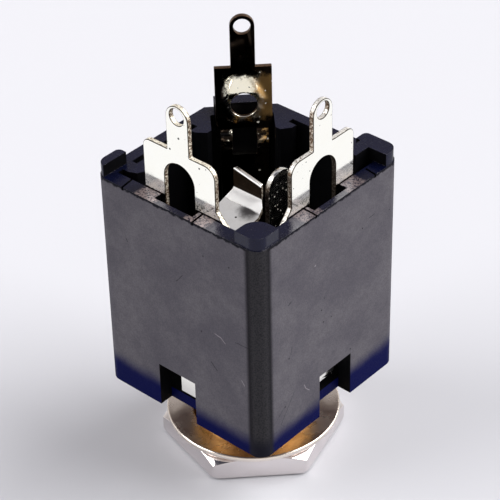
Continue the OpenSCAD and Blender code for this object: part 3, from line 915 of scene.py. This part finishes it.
def spring_marks(tree, spot, tone, gloss):
    """Painted shade on a patch and on the upright end, and a painted highlight along the fold, of the tip's
    spring; the fold comes back as well.
    """
    normal = axes(tree, facing(tree))
    apart = vector_math(tree, "DISTANCE", place(tree), RUB_SHADE_AT)
    # painted shade: a ragged dark patch on the spring
    rub_shade = fall(tree, ragged(tree, apart, 0.8, 0.6, 4), 0.7, 1.7, 0.95)
    # painted shade: dark brown on the faces of the upright end that look to -X
    end_shade = times(tree, ramp(tree, normal["X"], -0.85, -0.75, 1.0, 0.0), rise(tree, spot["X"], -5.0, -4.5))
    brown = mix(tree, noise(tree, 0.3, 5, 0.75), (0.002, 0.0015, 0.001), (0.045, 0.028, 0.018))
    # painted highlight: white, non-metal, on the faces along the fold that look up
    fold = rise(tree, ragged(tree, spot["X"], 0.3, 0.8, 3), -3.3, -3.1)
    fold = times(tree, fold, fall(tree, spot["X"], -2.2, -2.1), ramp(tree, normal["Z"], 0.2, 0.4))
    tone = coats(tree, tone, (rub_shade, (0.05, 0.045, 0.045)), (end_shade, brown), (fold, (0.98, 0.98, 0.99)))
    gloss = calc(tree, "ADD", gloss, times(tree, either(tree, end_shade, fold), 0.6))
    return tone, gloss, fold


def foot_band_and_gap_shade(tree, spot, up, tone, dull):
    """A mottled grey-brown band on the outer foot of a blade, and below it a dark gap line of painted
    shade.
    """
    outside = fall(tree, calc(tree, "MINIMUM", spot["X"], spot["Y"]), -6.65, -6.55)
    band = times(tree, rise(tree, up, -0.05, 0.05), fall(tree, up, 0.2, 1.2, 0.65))
    # a mottled grey-brown, dull band from the rim up to about 1.2 mm on the blade's outer face
    foot_band = times(tree, outside, band, ramp(tree, noise(tree, 0.22, 4, 0.7), 0.35, 0.6))
    # painted shade: a dark line on the blade where it meets the gap in the rim
    gap = fall(tree, ragged(tree, up, 0.16, 0.35, 3), 0.14, 0.22)
    gap = times(tree, outside, gap, rise(tree, up, -0.3, -0.2))
    tone = coats(tree, tone, (foot_band, (0.36, 0.285, 0.25)), (gap, (0.008, 0.006, 0.005)))
    dull = times(tree, either(tree, dull, foot_band), calc(tree, "SUBTRACT", 1.0, gap))
    return tone, dull


def shade_highlight_and_dust(tree, spot, up, tone, gloss):
    """All of these marks; hands back tone, gloss, dust and where the metal is dull."""
    tone, gloss, fold = spring_marks(tree, spot, tone, gloss)
    tone, dull = foot_band_and_gap_shade(tree, spot, up, tone, fold)
    leaf = times(tree, rise(tree, spot["X"], -1.5, -1.2), rise(tree, spot["Y"], -4.2, -4.0))
    dust = times(tree, specks(tree, 0.30, 0.085, 0.45), leaf)
    gloss = calc(tree, "ADD", gloss, fall(tree, up, -0.7, -0.1, 0.05))
    return tone, gloss, dust, either(tree, dull, dust)


print("rub mark at", [round(c / MM, 2) for c in RUB_SHADE_AT], "mm")

# %% [markdown]
# ## Flux beads and painted reflection on the sleeve
# The sleeve terminal is the same sheet, soldered, with small bright flux beads on the right side of its
# inner face. That side is painted brown, a painted reflection of the ring's leaf, and its tab, its foot and
# its left edge are painted near-black, a painted reflection and shade of the dark inside. The rim of the
# hole and a few glints low down stay clear of the black.

# %% Flux
def flux_beads_and_reflection(tree, spot, up, tone, gloss):
    """Painted reflection in brown and black, with flux beads; hands back tone, gloss, beads and where the
    metal is dull.
    """
    side = vector_math(tree, "DOT_PRODUCT", place(tree), ACROSS)
    offset = [
        (calc(tree, "SUBTRACT", side, HOLE_SIDE * MM), "X"),
        (calc(tree, "SUBTRACT", spot["Z"], (HOLE_Z + DIMPLE_RISE) * MM), "Z"),
    ]
    off_hole = vector_math(tree, "LENGTH", add(tree, "ShaderNodeCombineXYZ", offset).outputs[0])
    side = ragged(tree, side, 2.0, 0.7, 5, 0.65)
    # painted reflection: the right side browned, standing in for the ring's leaf that it mirrors
    brown = rise(tree, side, 1.5, 2.7)
    gloss = calc(tree, "ADD", gloss, times(tree, brown, 0.32))
    cloud = calc(tree, "SUBTRACT", noise(tree, 0.5, 5, 0.65), 0.5)
    crept = calc(tree, "ADD", up, times(tree, cloud, 1.6 * MM))
    not_low = calc(tree, "ADD", rise(tree, up, -1.2, -0.8), fall(tree, up, -2.3, -2.0))
    glints = ramp(tree, calc(tree, "ADD", noise(tree, 0.45, 3), not_low), 0.44, 0.52)
    low_left = times(tree, fall(tree, side, 0.1, 0.5), fall(tree, crept, 1.1, 1.7))
    low_left = times(tree, low_left, rise(tree, up, -0.7, -0.4))
    # painted reflection and shade: tab, foot and left edge near-black, for the dark inside that they mirror
    black = either(
        tree, times(tree, fall(tree, crept, -0.5, 0.3), glints),
        rise(tree, crept, 3.3, 3.9), fall(tree, side, -0.4, 0.1), low_left)
    inner = ramp(tree, vector_math(tree, "DOT_PRODUCT", facing(tree), -DIAGONAL), 0.2, 0.6)
    black = times(tree, black, rise(tree, off_hole, 1.2, 1.35), inner)
    tone = coats(tree, tone, (brown, (0.40, 0.24, 0.09)), (black, (0.018, 0.013, 0.010)))
    beads = times(tree, specks(tree, 0.4, 0.12, 0.55), ramp(tree, brown, 0.15, 0.5))
    return tone, gloss, beads, beads


print("flux round a hole at", HOLE_Z + DIMPLE_RISE, "mm")

# %% [markdown]
# ## Bright plate
# The sheet is brass under bright plate. Flat faces mirror the ground with a faint warm cast and a few dark
# pits, a little hazed at the foot. Inside the housing the springs were bent after plating, so they are
# wavy there. The painted shade, highlight, band and dust of tip and ring, or the flux beads and painted
# reflection of the sleeve, then lie over the plate.

# %% Plate finish
PIT, DUST = (0.02, 0.018, 0.014), (0.80, 0.77, 0.70)
WAVES = 25.0


def bright_plate(name, cool, warm, marks):
    """Bright plate between two tones, with marks laid over it."""
    finish, tree, metal = new_finish(name)
    spot = axes(tree, place(tree))
    up = calc(tree, "SUBTRACT", spot["Z"], RIM_Z * MM)
    pits = specks(tree, 0.46, 0.10, 0.45)
    tone = mix(tree, pits, mix(tree, noise(tree, 1.2, 4), warm, cool), PIT)
    haze = times(tree, rise(tree, up, -0.1, 0.0), fall(tree, up, 0.0, 2.1, 0.12))
    gloss = calc(tree, "ADD", ramp(tree, noise(tree, 0.5, 4), 0.3, 0.7, 0.04, 0.12), haze)
    tone, gloss, dust, dull = marks(tree, spot, up, tone, gloss)
    waves = times(tree, noise(tree, 1.8, 0), fall(tree, up, -0.7, -0.1, WAVES))
    dents = calc(tree, "SUBTRACT", calc(tree, "ADD", noise(tree, 0.9, 2), waves), pits)
    wire(
        tree, metal, Base_Color=mix(tree, dust, tone, DUST), Metallic=calc(tree, "SUBTRACT", 1.0, dull),
        Roughness=gloss, Normal=bump(tree, dents, 0.0015))
    print(name, "of", len(tree.nodes), "nodes")
    return finish


plate = bright_plate("bright_plate", (0.985, 0.98, 0.955), (0.97, 0.955, 0.905), shade_highlight_and_dust)
flux_and_reflection_plate = bright_plate("flux_and_reflection_plate", (0.97, 0.945, 0.85), (0.95, 0.90, 0.74), flux_beads_and_reflection)

# %% [markdown]
# ## Cut edges
# A shear leaves a grainy edge where it tore the sheet, with the brass showing brown. Edges that look up
# have a painted highlight and are paler, the lower ones of the ring have painted shade, and those of the
# sleeve are painted dark as shade. The painted shade along the burr is the same grain in darker tones.

# %% Cut edge finish
# near-black of painted shade on cut edges
EDGE_SHADE = (0.012, 0.008, 0.006)
BROWN, CREAM, GREY = (0.10, 0.055, 0.03), (0.85, 0.80, 0.68), (0.80, 0.79, 0.76)


def torn_edge(name, dull, bare, upper, metallic, shade_strength=0.0):
    """A torn edge in a dull and a bare tone, with a painted highlight tone where it looks up."""
    finish, tree, metal = new_finish(name, Metallic=metallic)
    streaks = noise(tree, 0.14, 4, 0.75)
    lean = axes(tree, facing(tree))["Z"]
    up = calc(tree, "SUBTRACT", axes(tree, place(tree))["Z"], RIM_Z * MM)
    # painted highlight: paler where the edge looks up
    upward_highlight = times(tree, ramp(tree, lean, 0.25, 0.6), ramp(tree, streaks, 0.38, 0.5))
    # painted shade: the lower, sideways-facing edges darkened, as strong as the last argument
    low_shade = times(tree, fall(tree, up, 3.8, 4.5, shade_strength), ramp(tree, lean, 0.0, 0.2, 1.0, 0.0))
    torn = mix(tree, ramp(tree, streaks, 0.48, 0.6), dull, bare)
    torn = coats(tree, torn, (upward_highlight, upper), (low_shade, EDGE_SHADE))
    rough = ramp(tree, streaks, 0.3, 0.7, 0.55, 0.3)
    wire(tree, metal, Base_Color=torn, Roughness=rough, Normal=bump(tree, streaks, 0.02))
    return finish


tip_edge = torn_edge("tip_cut_edge", BROWN, CREAM, CREAM, 0.5)
# the ring's lower edges get painted shade
ring_edge = torn_edge("ring_cut_edge", (0.12, 0.07, 0.04), (0.80, 0.72, 0.62), GREY, 0.6, 0.85)
# painted shade: the sleeve's cut edges are near-black like the dark inside that the sheet mirrors
sleeve_edge = torn_edge("sleeve_cut_edge_shade", EDGE_SHADE, (0.06, 0.04, 0.03), BROWN, 0.8)
# painted shade: a dark line on the rounds beside the burr
burr = torn_edge("burr_painted_shade", (0.008, 0.006, 0.004), (0.12, 0.09, 0.06), (0.06, 0.05, 0.035), 0.8)
for terminal, finishes in (
    (tip, (plate, tip_edge, burr)),
    (ring, (plate, ring_edge, burr)),
    (sleeve, (flux_and_reflection_plate, sleeve_edge, burr)),
):
    for finish in finishes:
        terminal.data.materials.append(finish)
    print(terminal.name, [m.name for m in terminal.data.materials])

# %% [markdown]
# ## Nickel and brass
# Nut and washer are nickel plated, a little warm and hazed from handling. The bushing is bare turned
# brass, gone dull, with fine rings from the lathe: a cloud that is stretched across the axis.

# %% Nickel and brass
RING_STRETCH = (0.02, 0.02, 1.0)


def nickel(name, low, high, mirror, haze):
    """Plate between two tones, from mirror to haze in roughness."""
    finish, tree, metal = new_finish(name, Metallic=1.0)
    cloud = noise(tree, 2.5, 4)
    rough = ramp(tree, cloud, 0.3, 0.7, mirror, haze)
    dents = bump(tree, noise(tree, 0.4, 3), 0.004)
    wire(tree, metal, Base_Color=mix(tree, cloud, low, high), Roughness=rough, Normal=dents)
    return finish


nut.data.materials.append(nickel("polished_nickel", (0.72, 0.67, 0.66), (0.80, 0.76, 0.77), 0.06, 0.14))
washer.data.materials.append(nickel("hazed_nickel", (0.76, 0.68, 0.61), (0.86, 0.79, 0.73), 0.16, 0.32))

brass, tree, metal = new_finish("dull_brass", Metallic=1.0)
rings = noise(tree, 0.15, 2, 0.5, RING_STRETCH)
tone = mix(tree, noise(tree, 1.5, 4), (0.34, 0.18, 0.055), (0.50, 0.30, 0.11))
wire(
    tree, metal, Base_Color=tone, Roughness=ramp(tree, rings, 0.3, 0.7, 0.25, 0.4),
    Normal=bump(tree, rings, 0.004))
bushing.data.materials.clear()
bushing.data.materials.append(brass)
print("finishes:", [m.name for m in bpy.data.materials if m.users])
